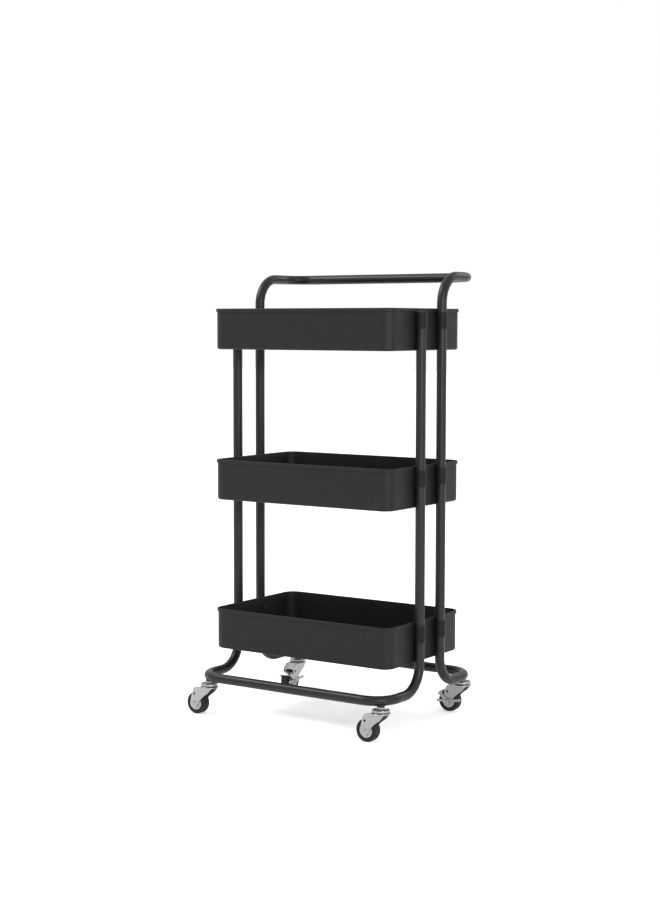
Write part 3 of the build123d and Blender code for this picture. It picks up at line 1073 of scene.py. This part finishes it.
# ---- Brake levers -----------------------------------------------------------
# One on each back caster: a pressed steel yoke on the axle, outside the cheeks.  Its arms carry a
# curved shoe behind the wheel, and on one side a bar runs forward to a small ribbed foot pad.

lever_sheet = 0.0016
lever_inner = cheek_out + 0.0003
lever_outer = lever_inner + lever_sheet
lever_height = 0.0048
lever_eye = 0.0065
lever_tip = 0.0290
lever_back = 0.0215
lever_rise = math.radians(9)
lever_edge = 0.0002
pad_width = 0.0060
pad_reach = 0.0224
pad_overlap = 0.0002
rib_count = 3
rib_pitch = 0.0017
rib_width = 0.0008
rib_height = 0.0004
bar_corner = 0.0012
arm_corner = 0.0004
shoe_inner = wheel_radius + 0.0014
shoe_outer = shoe_inner + lever_sheet
arm_width = 0.0070
shoe_width = 0.0090
shoe_turn = math.radians(138)
shoe_steps = 12


def bar_outline(start, end, height, corner):
    """Side view of a flat bar along X with rounded corners."""
    half = height / 2 - corner
    front = end - corner
    rear = start + corner
    points = []
    for x, z, first in ((front, half, 0), (rear, half, 90), (rear, -half, 180), (front, -half, 270)):
        for i in range(5):
            t = math.radians(first + 22.5 * i)
            points.append((x + corner * math.cos(t), z + corner * math.sin(t)))
    return points


def swung(outline, turn):
    """Side view turned about the axle."""
    c = math.cos(turn)
    s = math.sin(turn)
    return [(x * c - z * s, x * s + z * c) for x, z in outline]


def shoe_outline():
    """Curved strip that follows the tyre at a small distance."""
    half = math.asin(shoe_width / 2 / shoe_inner)
    turns = [-half + 2 * half * i / shoe_steps for i in range(shoe_steps + 1)]
    outer = [(shoe_outer * math.cos(t), shoe_outer * math.sin(t)) for t in turns]
    inner = [(shoe_inner * math.cos(t), shoe_inner * math.sin(t)) for t in reversed(turns)]
    return outer + inner


def tilted(mesh):
    """Foot bar piece raised toward its tip."""
    mesh.transform(Matrix.Rotation(-lever_rise, 4, "Y"))
    return mesh


steps = []
for low_y, high_y in ((-lever_outer, -lever_inner), (lever_inner, lever_outer)):
    arm = swung(bar_outline(0, shoe_outer - 0.0002, arm_width, arm_corner), shoe_turn)
    eye = circle_points(0, 0, lever_eye, 56)
    steps.append(("UNION", extruded("arm", arm, low_y, high_y)))
    steps.append(("UNION", extruded("eye", eye, low_y, high_y)))
back_bar = bar_outline(-lever_back, 0, lever_height, bar_corner)
steps.append(("UNION", extruded("back_bar", back_bar, -lever_outer, -lever_inner)))
foot_bar = bar_outline(0, lever_tip - 0.0001, lever_height, bar_corner)
steps.append(("UNION", tilted(extruded("foot_bar", foot_bar, -lever_outer, -lever_inner))))
pad_low = (pad_reach, -lever_inner - pad_overlap, -lever_sheet / 2)
pad_high = (lever_tip - 0.0003, pad_width - lever_outer, lever_sheet / 2)
steps.append(("UNION", tilted(box_mesh("pad", pad_low, pad_high))))
for i in range(rib_count):
    rib_x = pad_reach + 0.0010 + rib_pitch * i
    rib_low = (rib_x, -lever_inner - pad_overlap / 2, 0)
    rib_high = (rib_x + rib_width, pad_width - lever_outer - 0.0008, lever_sheet / 2 + rib_height)
    steps.append(("UNION", tilted(box_mesh("rib", rib_low, rib_high))))
bore = circle_points(0, 0, axle_radius + 0.0001)
steps.append(("DIFFERENCE", extruded("bore", bore, -half_span, half_span)))
shoe = extruded("shoe", swung(shoe_outline(), shoe_turn), -lever_outer, lever_outer)
lever_mesh = combine("brake_lever", shoe, steps, lever_edge)
lever_mesh.transform(axle_place)
for corner in casters:
    if f"{corner}_brake_lever" in frame["nodes"]:
        fit(corner, "brake_lever", lever_mesh, zinc_finish, "zinc_plate", f"{corner}_brake")
